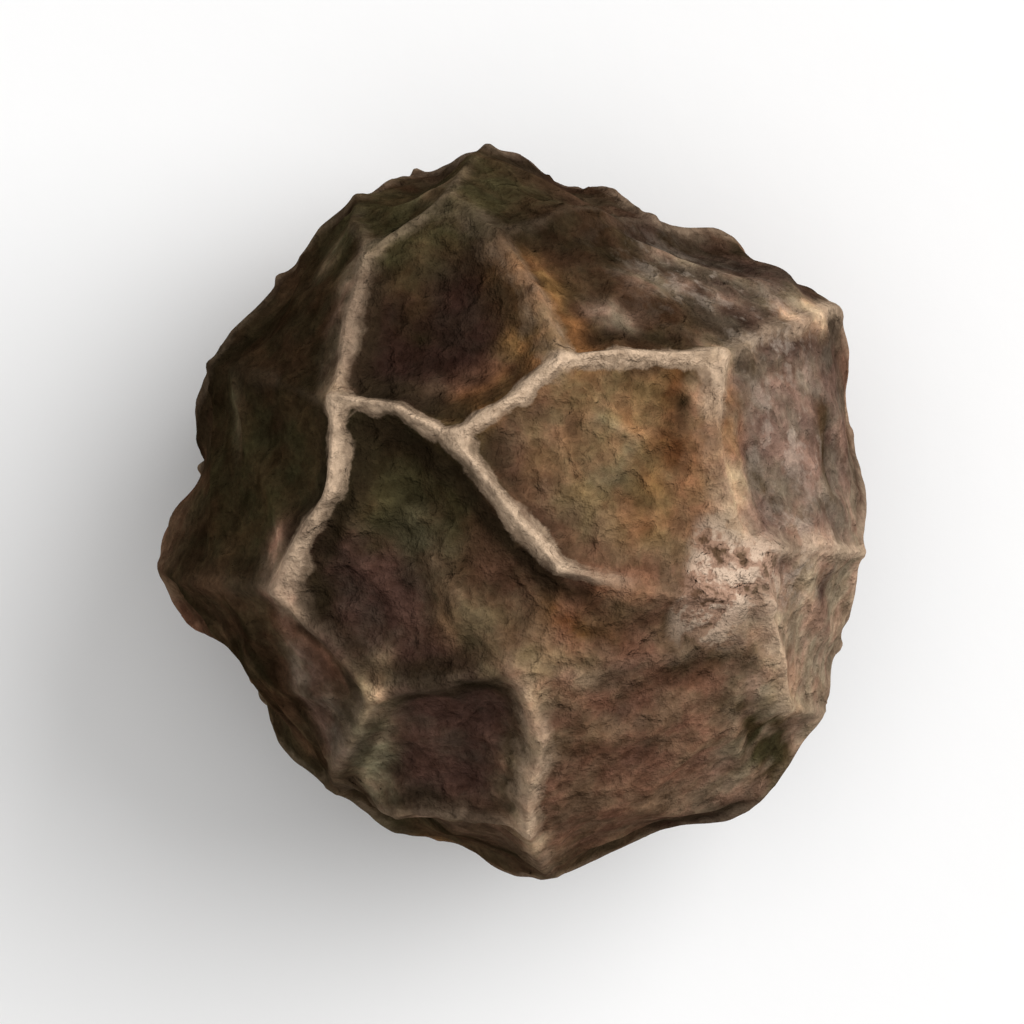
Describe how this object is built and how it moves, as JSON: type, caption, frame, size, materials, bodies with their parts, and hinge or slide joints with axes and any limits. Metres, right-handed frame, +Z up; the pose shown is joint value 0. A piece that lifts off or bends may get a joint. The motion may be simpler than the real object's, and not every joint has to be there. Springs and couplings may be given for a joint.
{
  "type": "peppercorn",
  "caption": "Dried black pepper berry: a small hard ball with sunken basins between a raised net of wrinkled ridges, and a small flat spot underneath.",
  "frame": {"origin": "on the surface that the peppercorn lies on, under the middle of its box, in its small flat spot", "axes": "+Z up, away from the flat spot, and towards the camera of the picture; +Y along the longest width, up the picture; +X to the right of the picture"},
  "size_m": [0.0048, 0.005, 0.0045],
  "materials": {
    "peppercorn_skin": "satin"
  },
  "bodies": {
    "root": {"peppercorn": "peppercorn_skin"}
  },
  "joints": []
}
